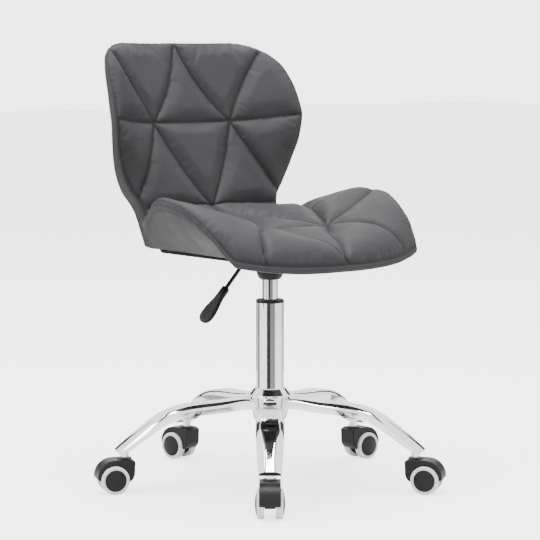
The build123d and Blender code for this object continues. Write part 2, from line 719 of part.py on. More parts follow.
with BuildPart() as caster_hood:
    with BuildSketch(Plane.XZ) as hood_side:
        with BuildLine():
            Polyline((-8, 60.5), (HOOD_NOSE_X, 56.5), (HOOD_NOSE_X + 1, 34))
            ThreePointArc((HOOD_NOSE_X + 1, 34), (-12.2, 26.5), (-6.5, HOOD_LIP_Z))
            Polyline((-6.5, HOOD_LIP_Z), (44, HOOD_LIP_Z), (HOOD_TAIL_X, 29))
            ThreePointArc((HOOD_TAIL_X, 29), (43.2, 50.2), (20, 60.5))
            Line((20, 60.5), (-8, 60.5))
        make_face()
        fillet(hood_side.vertices().group_by(Axis.X)[0], radius=1.5)
    extrude(amount=HOOD_HALF_WIDTH, both=True)
    fillet(caster_hood.faces().filter_by(Axis.Y).edges(), radius=1.6)
    # raised seat round the stem
    with BuildSketch(Plane.XY.offset(HOOD_TOP_Z - 8)):
        Circle(13)
    extrude(amount=8)
    fillet(caster_hood.edges().filter_by(GeomType.CIRCLE).sort_by(Axis.Z)[-1], radius=1.2)
    # a well each side takes the wheels, and a boss carries the axle
    for side in (-1, 1):
        with BuildSketch(Plane.XZ.offset(side * WEB_HALF_WIDTH)):
            with Locations((TRAIL, WHEEL_R)):
                Circle(WELL_R)
        extrude(amount=side * (HOOD_HALF_WIDTH + 1 - WEB_HALF_WIDTH), mode=Mode.SUBTRACT)
    with BuildSketch(Plane.XZ):
        with Locations((TRAIL, WHEEL_R)):
            Circle(AXLE_R + 3.5)
    extrude(amount=WEB_HALF_WIDTH, both=True)
    with BuildSketch(Plane.XZ):
        with Locations((TRAIL, WHEEL_R)):
            Circle(AXLE_R + 0.01)
    extrude(amount=WEB_HALF_WIDTH, both=True, mode=Mode.SUBTRACT)
    ring(0, STEM_R + RUN, STEM_BOTTOM_Z - 1, HOOD_TOP_Z, mode=Mode.SUBTRACT)

with BuildPart() as caster_axle:
    with BuildSketch(Plane.XZ):
        with Locations((TRAIL, WHEEL_R)):
            Circle(AXLE_R)
    extrude(amount=AXLE_HALF, both=True)

# the cap is a shallow part of a ball, centred on the axle
dome_rise = CAP_OUTER_Y - CAP_EDGE_Y
dome_r = (CAP_R**2 + dome_rise**2) / (2 * dome_rise)
dome_middle_y = CAP_OUTER_Y - dome_r + (dome_r**2 - (CAP_R / 2) ** 2) ** 0.5

with BuildPart() as wheel_core:
    with BuildSketch(wheel_plane):
        with BuildLine():
            Polyline(
                (CAP_OUTER_Y, 0),
                (AXLE_HALF + 0.5, 0),
                (AXLE_HALF + 0.5, AXLE_R + RUN),
                (WHEEL_INNER_Y, AXLE_R + RUN),
                (WHEEL_INNER_Y, 7),
                (WHEEL_INNER_Y + 3, 7),
                (WHEEL_INNER_Y + 3, 16.5),
                (WHEEL_INNER_Y + 0.4, 16.5),
                (WHEEL_INNER_Y + 0.4, CORE_R),
                (TYRE_OUTER_Y + 0.3, CORE_R),
                (CAP_EDGE_Y, CAP_R),
            )
            ThreePointArc((CAP_EDGE_Y, CAP_R), (dome_middle_y, CAP_R / 2), (CAP_OUTER_Y, 0))
        make_face()
    revolve(axis=axle_axis)

with BuildPart() as tyre:
    with BuildSketch(wheel_plane):
        with BuildLine():
            Polyline(
                (WHEEL_INNER_Y, CORE_R),
                (WHEEL_INNER_Y, WHEEL_R - 1),
                (WHEEL_INNER_Y + 1, WHEEL_R),
                (TYRE_OUTER_Y - 2, WHEEL_R),
            )
            ThreePointArc((TYRE_OUTER_Y - 2, WHEEL_R), (TYRE_OUTER_Y - 0.6, 24.4), (TYRE_OUTER_Y, 23))
            Polyline(
                (TYRE_OUTER_Y, 23),
                (TYRE_OUTER_Y, 21.6),
                (TYRE_OUTER_Y - 0.5, 21.3),
                (TYRE_OUTER_Y - 0.5, CORE_R),
                (WHEEL_INNER_Y, CORE_R),
            )
        make_face()
    revolve(axis=axle_axis)

for number in range(LEG_COUNT):
    leg_angle = FIRST_LEG_ANGLE + LEG_PITCH * number
    stem_x = CASTER_PITCH_R * cos(radians(leg_angle))
    stem_y = CASTER_PITCH_R * sin(radians(leg_angle))
    caster = Location((stem_x, stem_y, 0), (0, 0, leg_angle + CASTER_TURNS[number]))
    save(caster_hood.part.moved(caster), f"caster_hood_{number + 1}")
    save(caster_axle.part.moved(caster), f"caster_axle_{number + 1}")
    for piece, kind in ((wheel_core, "wheel"), (tyre, "tyre")):
        save(piece.part.moved(caster), f"caster_{number + 1}_{kind}_left")
        save(piece.part.mirror(Plane.XZ).moved(caster), f"caster_{number + 1}_{kind}_right")
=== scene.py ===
"""Winged swivel chair: upholstery, stitching, materials, light and camera around the frame."""
import json
import math

import bpy
import numpy as np
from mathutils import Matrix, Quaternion, Vector, noise
from mathutils.geometry import delaunay_2d_cdt


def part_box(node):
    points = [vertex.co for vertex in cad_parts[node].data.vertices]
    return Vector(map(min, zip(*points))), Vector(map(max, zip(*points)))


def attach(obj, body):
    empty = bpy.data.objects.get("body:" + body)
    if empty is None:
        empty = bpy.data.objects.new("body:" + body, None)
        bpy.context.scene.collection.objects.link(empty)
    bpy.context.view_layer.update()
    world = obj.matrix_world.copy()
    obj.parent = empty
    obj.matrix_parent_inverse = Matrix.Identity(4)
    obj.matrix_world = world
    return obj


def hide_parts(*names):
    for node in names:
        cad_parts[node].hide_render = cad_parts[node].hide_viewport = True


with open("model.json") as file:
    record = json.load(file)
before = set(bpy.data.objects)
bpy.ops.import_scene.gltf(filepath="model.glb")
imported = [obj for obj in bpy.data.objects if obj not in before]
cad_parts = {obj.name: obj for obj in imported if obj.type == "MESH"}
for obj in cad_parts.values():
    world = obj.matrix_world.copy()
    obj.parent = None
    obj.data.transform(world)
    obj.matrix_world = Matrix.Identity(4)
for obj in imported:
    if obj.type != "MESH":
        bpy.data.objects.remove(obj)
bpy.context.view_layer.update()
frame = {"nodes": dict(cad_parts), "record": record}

MM = 0.001

# ---------------------------------------------------------------- materials


class Nodes:
    """Small helper that adds shader nodes and links them by name."""

    def __init__(self, name):
        self.material = bpy.data.materials.new(name)
        self.material.use_nodes = True
        self.tree = self.material.node_tree
        self.shader = self.tree.nodes["Principled BSDF"]
        self.place = self.add("ShaderNodeTexCoord").outputs["Object"]

    def add(self, kind, **settings):
        node = self.tree.nodes.new(kind)
        for key, value in settings.items():
            if hasattr(node, key):
                setattr(node, key, value)
            else:
                node.inputs[key.replace("_", " ")].default_value = value
        return node

    def link(self, source, target):
        self.tree.links.new(source, target)

    def noise(self, scale, detail=3.0, stretch=None):
        node = self.add("ShaderNodeTexNoise", Scale=scale, Detail=detail)
        place = self.place
        if stretch:
            mapping = self.add("ShaderNodeMapping")
            mapping.inputs["Scale"].default_value = stretch
            self.link(self.place, mapping.inputs["Vector"])
            place = mapping.outputs["Vector"]
        self.link(place, node.inputs["Vector"])
        return node.outputs["Fac"]

    def cells(self, scale, feature="F1"):
        node = self.add("ShaderNodeTexVoronoi", feature=feature, Scale=scale)
        self.link(self.place, node.inputs["Vector"])
        return node.outputs["Distance"]

    def between(self, factor, low, high, start=0.3, end=0.7):
        """Map a factor from start..end to low..high."""
        node = self.add("ShaderNodeMapRange")
        ends = {"From Min": start, "From Max": end, "To Min": low, "To Max": high}
        for key, value in ends.items():
            node.inputs[key].default_value = value
        self.link(factor, node.inputs["Value"])
        return node.outputs["Result"]

    def colours(self, factor, dark, light, start=0.35, end=0.65):
        node = self.add("ShaderNodeValToRGB")
        node.color_ramp.elements[0].position = start
        node.color_ramp.elements[1].position = end
        node.color_ramp.elements[0].color = (*dark, 1)
        node.color_ramp.elements[1].color = (*light, 1)
        self.link(factor, node.inputs["Fac"])
        self.link(node.outputs["Color"], self.shader.inputs["Base Color"])

    def rough(self, factor, low, high):
        self.link(self.between(factor, low, high), self.shader.inputs["Roughness"])

    def bump(self, *layers):
        """Stack bumps; each layer is (height, depth in metres, strength)."""
        normal = None
        for height, depth, strength in layers:
            node = self.add("ShaderNodeBump", Strength=strength, Distance=depth)
            self.link(height, node.inputs["Height"])
            if normal:
                self.link(normal, node.inputs["Normal"])
            normal = node.outputs["Normal"]
        self.link(normal, self.shader.inputs["Normal"])

    def fixed(self, **values):
        for key, value in values.items():
            self.shader.inputs[key.replace("_", " ")].default_value = value
        return self.material


def grey(level, tint=(1.0, 1.0, 1.0)):
    return tuple(level * part for part in tint)


COOL = (1.0, 0.98, 1.05)
# painted shade: the leather's colour is multiplied by this along its seams and edges
SEAM_SHADE = (0.36, 0.36, 0.37, 1)


def leather_material():
    """Coated fabric with a fine pebble grain, faint blotches and slightly polished high spots."""
    m = Nodes("grey_leatherette")
    blotch = m.noise(9.0, 4.0)
    m.colours(blotch, grey(0.034, COOL), grey(0.040, COOL))
    # painted shade: the leather's colour is darkened along the stitched seams and edges, where the
    # creases lie in shade
    painted_shade = m.add("ShaderNodeAttribute", attribute_name="painted_shade")
    shade = m.add("ShaderNodeMix", data_type="RGBA", blend_type="MULTIPLY")
    m.link(m.between(painted_shade.outputs["Fac"], 0.0, 1.0, 0.15, 0.9), shade.inputs["Factor"])
    m.link(m.shader.inputs["Base Color"].links[0].from_socket, shade.inputs["A"])
    shade.inputs["B"].default_value = SEAM_SHADE
    m.link(shade.outputs["Result"], m.shader.inputs["Base Color"])
    m.rough(m.noise(26.0, 5.0), 0.50, 0.62)
    m.bump(
        (m.cells(620.0, "DISTANCE_TO_EDGE"), 0.00022, 0.35),
        (m.noise(1500.0, 2.0), 0.00012, 0.25),
        (m.noise(55.0, 3.0), 0.0012, 0.12),
    )
    return m.fixed(Specular_IOR_Level=0.16)


def thread_material():
    m = Nodes("grey_thread")
    m.colours(m.noise(900.0, 2.0), grey(0.014, COOL), grey(0.03, COOL))
    m.bump((m.noise(2600.0, 2.0, (1.0, 1.0, 3.0)), 0.0002, 0.6))
    return m.fixed(Roughness=0.6)


def chrome_material():
    m = Nodes("polished_chrome")
    m.colours(m.noise(14.0, 3.0), grey(0.80), grey(0.90))
    m.rough(m.noise(60.0, 4.0), 0.035, 0.085)
    m.bump((m.noise(38.0, 3.0), 0.0004, 0.05), (m.noise(1800.0, 2.0), 0.00003, 0.05))
    return m.fixed(Metallic=1.0)


def steel_material():
    m = Nodes("zinc_steel")
    m.colours(m.noise(90.0, 4.0), grey(0.42), grey(0.58))
    m.rough(m.noise(300.0, 4.0, (1.0, 1.0, 6.0)), 0.24, 0.42)
    m.bump((m.noise(900.0, 3.0, (1.0, 1.0, 8.0)), 0.0001, 0.2))
    return m.fixed(Metallic=1.0)


def plastic_material(name, level, low, high, grain=0.00008):
    """Moulded plastic: spark-eroded grain, uneven gloss."""
    m = Nodes(name)
    m.colours(m.noise(40.0, 4.0), grey(level * 0.85), grey(level * 1.2))
    m.rough(m.noise(120.0, 4.0), low, high)
    m.bump((m.noise(1700.0, 3.0), grain, 0.35), (m.noise(60.0, 2.0), 0.0004, 0.06))
    return m.fixed(Specular_IOR_Level=0.25)


def tread_material():
    m = Nodes("pale_tread")
    m.colours(m.noise(70.0, 4.0), grey(0.74), grey(0.84))
    m.rough(m.noise(160.0, 3.0), 0.45, 0.62)
    m.bump((m.noise(1100.0, 3.0), 0.00012, 0.3))
    return m.fixed(Specular_IOR_Level=0.4)


def paint_material():
    m = Nodes("black_powder_coat")
    m.colours(m.noise(50.0, 3.0), grey(0.004), grey(0.008))
    m.rough(m.noise(200.0, 3.0), 0.32, 0.48)
    m.bump((m.noise(1300.0, 2.0), 0.00012, 0.4))
    return m.fixed(Specular_IOR_Level=0.5)


def plywood_material():
    m = Nodes("raw_plywood")
    m.colours(m.noise(18.0, 6.0, (1.0, 9.0, 9.0)), (0.36, 0.22, 0.11), (0.62, 0.45, 0.27))
    m.bump((m.noise(120.0, 4.0, (1.0, 12.0, 12.0)), 0.0004, 0.4))
    return m.fixed(Roughness=0.75)


def cloth_material():
    m = Nodes("black_nonwoven")
    m.colours(m.cells(700.0), grey(0.003), grey(0.009), 0.1, 0.7)
    m.bump((m.cells(900.0), 0.0004, 0.6), (m.noise(40.0, 3.0), 0.002, 0.2))
    return m.fixed(Roughness=0.85, Specular_IOR_Level=0.2)


def nylon_material():
    m = Nodes("natural_nylon")
    m.colours(m.noise(60.0, 3.0), (0.58, 0.57, 0.52), (0.70, 0.69, 0.64))
    m.rough(m.noise(140.0, 3.0), 0.4, 0.55)
    m.bump((m.noise(900.0, 2.0), 0.0001, 0.3))
    return m.material


LEATHER = leather_material()
THREAD = thread_material()
FINISHES = {
    "chromed_steel": chrome_material(),
    "bright_steel": steel_material(),
    "inner_plastic": nylon_material(),
    "black_plastic": plastic_material("black_nylon", 0.004, 0.34, 0.5),
    "wheel_cap": plastic_material("wheel_cap_plastic", 0.004, 0.3, 0.44, 0.00004),
    "grey_tread": tread_material(),
    "black_paint": paint_material(),
    "plywood": plywood_material(),
    "dust_cloth": cloth_material(),
    "upholstery": LEATHER,
}

for part in frame["record"]["subparts"]:
    node = frame["nodes"][part["node"]]
    finish = FINISHES[part["material_slot"]]
    if not node.material_slots:
        node.data.materials.append(finish)
    for slot in node.material_slots:
        slot.material = finish

# ---------------------------------------------------------------- curves and fields


def smooth(knots, values, at):
    """Monotone cubic through (knots, values); values may have several columns."""
    knots = np.asarray(knots, float)
    values = np.asarray(values, float)
    if values.ndim == 1:
        return smooth(knots, values[:, None], at)[..., 0]
    step = np.diff(knots)[:, None]
    slope = np.diff(values, axis=0) / step
    tangent = np.zeros_like(values)
    tangent[0] = slope[0]
    tangent[-1] = slope[-1]
    same = slope[:-1] * slope[1:] > 0
    mean = 2 * slope[:-1] * slope[1:] / np.where(same, slope[:-1] + slope[1:], 1)
    tangent[1:-1] = np.where(same, mean, 0)
    at = np.clip(np.asarray(at, float), knots[0], knots[-1])
    cell = np.clip(np.searchsorted(knots, at, side="right") - 1, 0, len(knots) - 2)
    span = step[cell]
    f = ((at - knots[cell])[..., None]) / span
    return (
        (2 * f**3 - 3 * f**2 + 1) * values[cell]
        + (f**3 - 2 * f**2 + f) * span * tangent[cell]
        + (3 * f**2 - 2 * f**3) * values[cell + 1]
        + (f**3 - f**2) * span * tangent[cell + 1]
    )


def seam_distance(points, seams):
    """Distance of each 2-D point from the nearest seam; a seam is a list of 2-D points."""
    best = np.full(len(points), 1e9)
    for seam in seams:
        for a, b in zip(seam[:-1], seam[1:]):
            d = b - a
            f = np.clip((points - a) @ d / (d @ d), 0, 1)
            best = np.minimum(best, np.linalg.norm(points - a - f[:, None] * d, axis=1))
    return best


def puff(distance, height, reach):
    """Height of stuffed leather at a distance from a seam: steep at the seam, then levelling."""
    f = np.clip(distance / reach, 0, 1)
    return height * (1 - (1 - f) ** 2.8)


def bowed(a, b, bulge, spacing=4.0):
    """A seam from a to b that bows sideways by bulge, as evenly spaced points."""
    a, b = np.asarray(a, float), np.asarray(b, float)
    length = np.linalg.norm(b - a)
    along = np.linspace(0, 1, max(3, int(length / spacing)))[:, None]
    side = np.array([-(b - a)[1], (b - a)[0]]) / length
    return a + (b - a) * along + side * bulge * 4 * along * (1 - along)


def evenly(line, spacing):
    """Points along a polyline at an even spacing, both ends kept."""
    steps = np.linalg.norm(np.diff(line, axis=0), axis=1)
    reach = np.concatenate([[0], np.cumsum(steps)])
    at = np.linspace(0, reach[-1], max(2, int(round(reach[-1] / spacing)) + 1))
    columns = [np.interp(at, reach, line[:, k]) for k in range(line.shape[1])]
    return np.stack(columns, axis=-1)


def inside(points, outline):
    """Which 2-D points lie inside a closed outline."""
    hit = np.zeros(len(points), bool)
    following = np.roll(outline, -1, axis=0)
    for (ax, ay), (bx, by) in zip(outline, following):
        crosses = (ay > points[:, 1]) != (by > points[:, 1])
        if crosses.any():
            at = ax + (points[:, 1] - ay) * (bx - ax) / (by - ay if by != ay else 1)
            hit ^= crosses & (points[:, 0] < at)
    return hit


SNAP_REACH = 12  # a seam that ends this near the outline is joined to it
ROW_RATIO = 0.866  # height of an equilateral triangle to its side


def patch(outline, seams, spacing):
    """Flat points and triangles that fill an outline and follow its seams.

    The outline's points come first, in order.
    """
    count = len(outline)
    points = [*outline]
    edges = [(i, (i + 1) % count) for i in range(count)]
    for seam in seams:
        line = seam.copy()
        near = np.linalg.norm(outline - line[-1], axis=1)
        if near.min() < SNAP_REACH:
            line[-1] = outline[near.argmin()]
        start = len(points)
        points += [*line]
        edges += [(start + i, start + i + 1) for i in range(len(line) - 1)]
    low, high = outline.min(axis=0), outline.max(axis=0)
    rows = int((high[1] - low[1]) / (spacing * ROW_RATIO)) + 1
    lattice = [
        (low[0] + (c + 0.5 * (r % 2)) * spacing, low[1] + r * spacing * ROW_RATIO)
        for r in range(rows)
        for c in range(int((high[0] - low[0]) / spacing) + 1)
    ]
    lattice = np.array(lattice)
    lines = [*seams, np.vstack([outline, outline[:1]])]
    keep = inside(lattice, outline) & (seam_distance(lattice, lines) > 0.6 * spacing)
    points += [*lattice[keep]]
    flat, _, faces, sources, _, _ = delaunay_2d_cdt(
        [Vector(p) for p in points], edges, [list(range(count))], 1, 1e-3
    )
    order = {source: k for k, found in enumerate(sources) for source in found}
    first = [order[i] for i in range(count)]
    rest = [k for k in range(len(flat)) if k not in set(first)]
    rank = {old: new for new, old in enumerate(first + rest)}
    place = np.array([flat[k][:] for k in first + rest])
    faces = [tuple(rank[k] for k in face) for face in faces]
    return place, faces


def make_mesh(name, points, faces, material):
    """Smooth-shaded mesh object from points in metres."""
    mesh = bpy.data.meshes.new(name)
    mesh.from_pydata([tuple(p) for p in points], [], faces)
    mesh.validate()
    mesh.materials.append(material)
    mesh.shade_smooth()
    obj = bpy.data.objects.new(name, mesh)
    bpy.context.scene.collection.objects.link(obj)
    return obj


def triangle_normals(points, faces):
    """Area-weighted vertex normals."""
    corners = np.asarray(faces)
    a, b, c = (points[corners[:, k]] for k in range(3))
    across = np.cross(b - a, c - a)
    normals = np.zeros_like(points)
    for k in range(3):
        np.add.at(normals, corners[:, k], across)
    return normals / np.maximum(np.linalg.norm(normals, axis=1), 1e-12)[:, None]


CLOTH_SCALE = 10  # the cloth solver is steadier with larger triangles
CLOTH_STEPS = 12


def stuffed(name, points, faces, held, pressure, growth, cap):
    """Cloth pass: slightly oversized leather is blown out between its stitched points.

    Returns the settled points. No point moves further than cap millimetres.
    """
    obj = make_mesh(name, points * MM * CLOTH_SCALE, faces, LEATHER)
    pins = obj.vertex_groups.new(name="held")
    pins.add([int(k) for k in np.flatnonzero(held)], 1.0, "REPLACE")
    cloth = obj.modifiers.new("cloth", "CLOTH")
    settings = cloth.settings
    settings.quality = 6
    settings.mass = 0.15
    settings.tension_stiffness = 25
    settings.compression_stiffness = 25
    settings.shear_stiffness = 12
    settings.bending_stiffness = 4
    settings.air_damping = 2
    settings.vertex_group_mass = "held"
    settings.use_pressure = True
    settings.uniform_pressure_force = pressure
    settings.shrink_min = -growth
    settings.effector_weights.gravity = 0
    cloth.collision_settings.use_collision = False
    scene = bpy.context.scene
    for step in range(1, CLOTH_STEPS + 1):
        scene.frame_set(step)
    settled = obj.evaluated_get(bpy.context.evaluated_depsgraph_get()).to_mesh()
    result = np.array([v.co[:] for v in settled.vertices]) / (MM * CLOTH_SCALE)
    scene.frame_set(1)
    bpy.data.objects.remove(obj)
    move = result - points
    far = np.linalg.norm(move, axis=1)
    print(name, "cloth moved", far.max().round(2), "mm, mean", far.mean().round(2))
    move *= (np.minimum(far, cap) / np.maximum(far, 1e-9))[:, None]
    return points + move


class Shell:
    """A closed cover: patches joined by bands of loops."""

    def __init__(self):
        self.points = []
        self.faces = []
        self.soft = []
        self.painted_shade = []

    def add(self, points, soft, painted_shade=0.0):
        first = sum(len(p) for p in self.points)
        self.points.append(points)
        self.soft += [soft] * len(points)
        self.painted_shade += [*np.broadcast_to(painted_shade, len(points))]
        return list(range(first, first + len(points)))

    def join(self, upper, lower):
        for i in range(len(upper)):
            j = (i + 1) % len(upper)
            self.faces.append((upper[i], lower[i], lower[j], upper[j]))

    def close(self, ids, faces, facing):
        """Add a patch's faces, turned over unless they already face outward."""
        for face in faces:
            self.faces.append(tuple(ids[k] for k in (face if facing else face[::-1])))

    def object(self, name, puckers):
        """Mesh object, subdivided once, with fine puckers on its edge bands."""
        obj = make_mesh(name, np.vstack(self.points) * MM, self.faces, LEATHER)
        # the painted seam shade goes to the leather material as a point attribute
        stored = obj.data.attributes.new("painted_shade", "FLOAT", "POINT")
        stored.data.foreach_set("value", np.array(self.painted_shade, np.float32))
        band = obj.vertex_groups.new(name="band")
        for k, weight in enumerate(self.soft):
            if weight:
                band.add([k], weight, "REPLACE")
        finer = obj.modifiers.new("finer", "SUBSURF")
        finer.levels = finer.render_levels = 1
        graph = bpy.context.evaluated_depsgraph_get()
        mesh = bpy.data.meshes.new_from_object(
            obj.evaluated_get(graph), preserve_all_data_layers=True, depsgraph=graph
        )
        obj.modifiers.remove(finer)
        obj.data = mesh
        count = len(mesh.vertices)
        places, normals = np.empty(count * 3), np.empty(count * 3)
        mesh.vertices.foreach_get("co", places)
        mesh.vertices.foreach_get("normal", normals)
        weights = np.array([sum(g.weight for g in vertex.groups) for vertex in mesh.vertices])
        places, normals = places.reshape(-1, 3), normals.reshape(-1, 3)
        spots = [Vector(place) for place in places]
        ripple = np.array([noise.noise(p * 130) + 0.6 * noise.noise(p * 260) for p in spots])
        wave = np.array([noise.noise(p * 28) for p in spots])
        places = places + normals * (MM * (weights * puckers * ripple + 0.5 * wave))[:, None]
        mesh.vertices.foreach_set("co", places.ravel())
        mesh.update()
        obj.vertex_groups.clear()
        mesh.shade_smooth()
        return obj


STITCH_SIDES = 6
# along the stitch, above the leather, radius: shares of its length and of the thread's thickness
STITCH_RINGS = ((-0.5, -0.5, 0.5), (-0.25, 0.1, 1.0), (0.25, 0.1, 1.0), (0.5, -0.5, 0.5))


def stitches(name, path, outward, pitch=4.6, length=3.3, thick=0.55):
    """A row of thread stitches along a closed path in millimetres, lying on the leather."""
    line = np.vstack([path, path[:1]])
    rows = evenly(np.hstack([line, np.vstack([outward, outward[:1]])]), pitch)
    points, faces = [], []
    for k in range(len(rows) - 1):
        here, along, up = rows[k, :3], rows[k + 1, :3] - rows[k, :3], rows[k, 3:]
        along = along / max(np.linalg.norm(along), 1e-9)
        up = up / max(np.linalg.norm(up), 1e-9)
        side = np.cross(along, up)
        first = len(points)
        for shift, rise, radius in STITCH_RINGS:
            middle = here + along * shift * length + up * rise * thick
            for turn in range(STITCH_SIDES):
                angle = turn * math.pi / 3
                spoke = side * math.cos(angle) + up * math.sin(angle)
                points.append(middle + spoke * radius * thick)
        last = first + (len(STITCH_RINGS) - 1) * STITCH_SIDES
        for ring in range(first, last, STITCH_SIDES):
            for turn in range(STITCH_SIDES):
                a, b = ring + turn, ring + (turn + 1) % STITCH_SIDES
                faces.append((a, b, b + STITCH_SIDES, a + STITCH_SIDES))
        faces.append(tuple(first + turn for turn in reversed(range(STITCH_SIDES))))
        faces.append(tuple(last + turn for turn in range(STITCH_SIDES)))
    obj = make_mesh(name, np.array(points) * MM, faces, THREAD)
    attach(obj, "seat")


SPACING = 4.6  # between mesh points on the quilted faces
EDGE_SPACING = 4.0
REAR_SPACING = 9.0
UNDER_SPACING = 14.0
SEAM_DEPTH = 3.4
SEAM_WIDTH = 2.4
EDGE_DIP = 1.6


def quilted(flat, outline, seams, height, reach, edge_reach, fade=1.0):
    """Height of each flat point above its padding, how much painted shade darkens it along the seams
    and edges, and whether it is stitched.
    """
    from_seam = seam_distance(flat, seams)
    from_edge = seam_distance(flat, [np.vstack([outline, outline[:1]])])
    valley = from_seam + 0.5 * np.clip(10 - from_edge, 0, 10)
    rise = np.minimum(puff(valley, height, reach), puff(from_edge, height, edge_reach))
    rise = (rise - EDGE_DIP * np.exp(-from_edge / EDGE_DIP)) * fade
    rise = rise - SEAM_DEPTH * np.exp(-valley / SEAM_WIDTH)
    # painted shade: a weight that darkens the leather's colour at the seams and, a little less, along
    # the outline
    painted_shade = np.maximum(
        np.exp(-((from_seam / 2.0) ** 2)), 0.8 * np.exp(-((from_edge / 2.2) ** 2))
    )
    held = (from_seam < 0.3) | (from_edge < 0.3)
    return rise, painted_shade, held

# ---------------------------------------------------------------- back

LEAN = math.radians(22)
CREASE_Y, CREASE_Z = 165.0, 485.0

# up the back: distance from the crease, half width, forward reach of the edges, thickness
BACK_OUTLINE = np.array([
    (-57, 147, 0, 36), (3, 152, 0, 36), (20, 158, 1, 35.5), (43, 175, 6, 34.5), (77, 193, 22, 32),
    (121, 207, 50, 29), (161, 211, 66, 26.5), (198, 208, 67, 24.5), (246, 199, 60, 21.5),
    (278, 184, 46, 19), (298, 165, 32, 17), (310, 144, 20, 16), (316, 122, 12, 15.5),
])
BACK_TOP = 316.0


def back_world(x, along, forward):
    """Chair position of a point given across, up the back and in front of it, in millimetres."""
    y = CREASE_Y + along * math.sin(LEAN) - forward * math.cos(LEAN)
    z = CREASE_Z + along * math.cos(LEAN) + forward * math.sin(LEAN)
    return np.stack([x, y, z], axis=-1)


def back_place(flat):
    """How far forward the unstuffed surface is, and the back's thickness, at flat places."""
    columns = smooth(BACK_OUTLINE[:, 0], BACK_OUTLINE[:, 1:], flat[:, 1])
    half, reach, thick = np.moveaxis(columns, -1, 0)
    # the middle is flat, and the wings curve forward from there
    wing = np.clip((np.abs(flat[:, 0]) / half - 0.36) / 0.64, 0, 1.1) ** 1.55
    return reach * wing, thick


BACK_HUB = (87, 165)
BACK_SEAMS = [bowed((-BACK_HUB[0], BACK_HUB[1]), BACK_HUB, 0)]
for s in (-1, 1):
    hub = (s * BACK_HUB[0], BACK_HUB[1])
    BACK_SEAMS += [
        bowed(hub, (s * 170, 293), s * 5),
        bowed(hub, (s * 2, 319), s * 11),
        bowed(hub, (s * 211, 152), s * 2),
        bowed(hub, (s * 160, 24), s * -5),
        bowed(hub, (s * 2, 3), s * 5),
    ]
BACK_SEAMS.append(bowed((-153, 3), (153, 3), 0))


def make_back():
    up = np.linspace(-57, BACK_TOP, 160)
    half = smooth(BACK_OUTLINE[:, 0], BACK_OUTLINE[:, 1], up)
    across = np.linspace(1, -1, 60)[1:-1]
    crown = np.stack([across * half[-1], BACK_TOP + 4 * (1 - across**2)], axis=-1)
    right = np.stack([half, up], axis=-1)
    left = np.stack([-half, up], axis=-1)[::-1]
    foot = np.stack([np.linspace(-half[0], half[0], 60)[1:], np.full(59, up[0])], axis=-1)
    outline = evenly(np.vstack([right, crown, left, foot]), EDGE_SPACING)[:-1]
    flat, faces = patch(outline, BACK_SEAMS, SPACING)
    count = len(outline)
    forward, thick = back_place(flat)
    base = back_world(flat[:, 0], flat[:, 1], forward)
    normals = triangle_normals(base, faces)
    if normals[:, 1].mean() > 0:
        faces = [face[::-1] for face in faces]
        normals = -normals
    rise, painted_shade, held = quilted(flat, outline, BACK_SEAMS, 2.7, 24, 12)
    start = base + normals * rise[:, None]
    front = stuffed("back_cloth", start, faces, held, pressure=2.5, growth=0.006, cap=4.0)
    # a side band and a plain rear panel close the cover
    ring, front_line = base[:count], front[:count]
    rear_line = back_world(outline[:, 0] * 0.99, outline[:, 1], forward[:count] - thick[:count])
    tilt = np.array([0, -math.cos(LEAN), math.sin(LEAN)])
    out = np.cross(np.roll(ring, -1, axis=0) - np.roll(ring, 1, axis=0), tilt)
    out /= np.linalg.norm(out, axis=1)[:, None]
    shell = Shell()
    shell.add(front, 0, painted_shade)
    shell.faces += faces
    upper = list(range(count))
    for k in range(1, 6):
        f = k / 6
        swell = 2.6 * math.sin(math.pi * f) ** 0.6
        row = front_line * (1 - f) + rear_line * f + out * swell
        # painted shade on the band's rows next to its front and rear seams
        lower = shell.add(row, 0.3 + 0.7 * math.sin(math.pi * f), 0.35 if k in (1, 5) else 0.0)
        shell.join(upper, lower)
        upper = lower
    rear_flat, rear_faces = patch(outline, [], REAR_SPACING)
    rear_forward, rear_thick = back_place(rear_flat)
    dome = 4.0 * puff(seam_distance(rear_flat, [np.vstack([outline, outline[:1]])]), 1, 60)
    rear = back_world(rear_flat[:, 0] * 0.99, rear_flat[:, 1], rear_forward - rear_thick - dome)
    rear_ids = shell.add(rear, 0)
    shell.join(upper, rear_ids[:count])
    shell.close(rear_ids, rear_faces, triangle_normals(rear, rear_faces)[:, 1].mean() > 0)
    cover = shell.object("back_cover", 0.9)
    stitches("back_front_stitching", front_line * 0.86 + rear_line * 0.14 + out * 1.9, out)
    stitches("back_rear_stitching", front_line * 0.12 + rear_line * 0.88 + out * 1.7, out)
    return cover


# ---------------------------------------------------------------- seat

# along the seat, from the front corner to the crease: side edge x, y, z, then middle line y, z
SEAT_OUTLINE = np.array([
    (0.00, 205, -160, 424, -210, 408),
    (0.06, 215, -143, 443, -203, 421),
    (0.15, 225, -114, 474, -178, 438),
    (0.35, 238, -38, 513, -95, 456),
    (0.50, 233, 13, 517, -20, 462),
    (0.70, 204, 82, 494, 70, 468),
    (0.88, 175, 136, 473, 146, 480),
    (1.00, 160, 163, 471, 173, 487),
])
SEAT_HUB = (71, -70)
PANEL_FOOT_Z = 420.0
LIP_Z = 419.0
ROW_BOW = 2.4  # how sharply a row across the seat bends toward its ends


def seat_rows(v):
    return np.moveaxis(smooth(SEAT_OUTLINE[:, 0], SEAT_OUTLINE[:, 1:], v), -1, 0)


def seat_place(flat):
    """How far along and across the seat a place in plan is."""
    x, y = flat[:, 0], flat[:, 1]
    low, high = np.zeros(len(flat)), np.ones(len(flat))
    for _ in range(30):
        v = (low + high) / 2
        sx, sy, _, cy, _ = seat_rows(v)
        short = cy + (sy - cy) * np.minimum(np.abs(x) / sx, 1.05) ** ROW_BOW < y
        low, high = np.where(short, v, low), np.where(short, high, v)
    return x / seat_rows(v)[0], v


